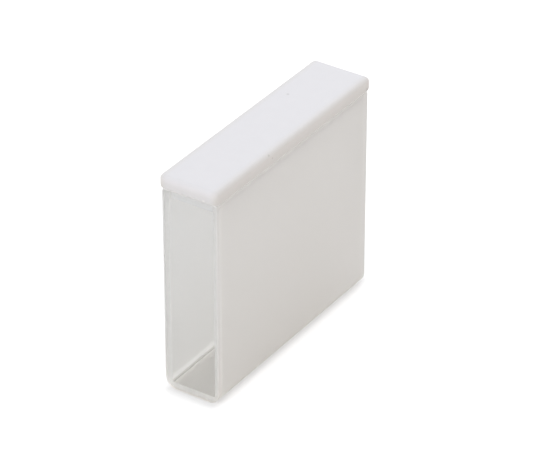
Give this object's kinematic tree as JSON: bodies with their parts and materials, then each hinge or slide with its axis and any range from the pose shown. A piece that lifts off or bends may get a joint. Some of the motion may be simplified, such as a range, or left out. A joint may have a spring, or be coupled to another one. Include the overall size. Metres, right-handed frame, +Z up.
{
  "type": "cuvette",
  "caption": "Upright rectangular glass cuvette of long light path, with ground side walls, polished end windows and a white plug-in lid.",
  "frame": {"origin": "middle of the flat foot that the cell stands on", "axes": "+X along the light path, +Y across the cell from one ground side to the other, +Z up"},
  "size_m": [0.0534, 0.0132, 0.048],
  "materials": {
    "ground_glass": "finely ground outside, polished inside the chamber",
    "clear_glass": "optically polished",
    "ptfe": "soft satin fluoropolymer"
  },
  "bodies": {
    "root": {"body": "ground_glass", "front_window": "clear_glass", "back_window": "clear_glass", "lid": "ptfe"}
  },
  "joints": []
}
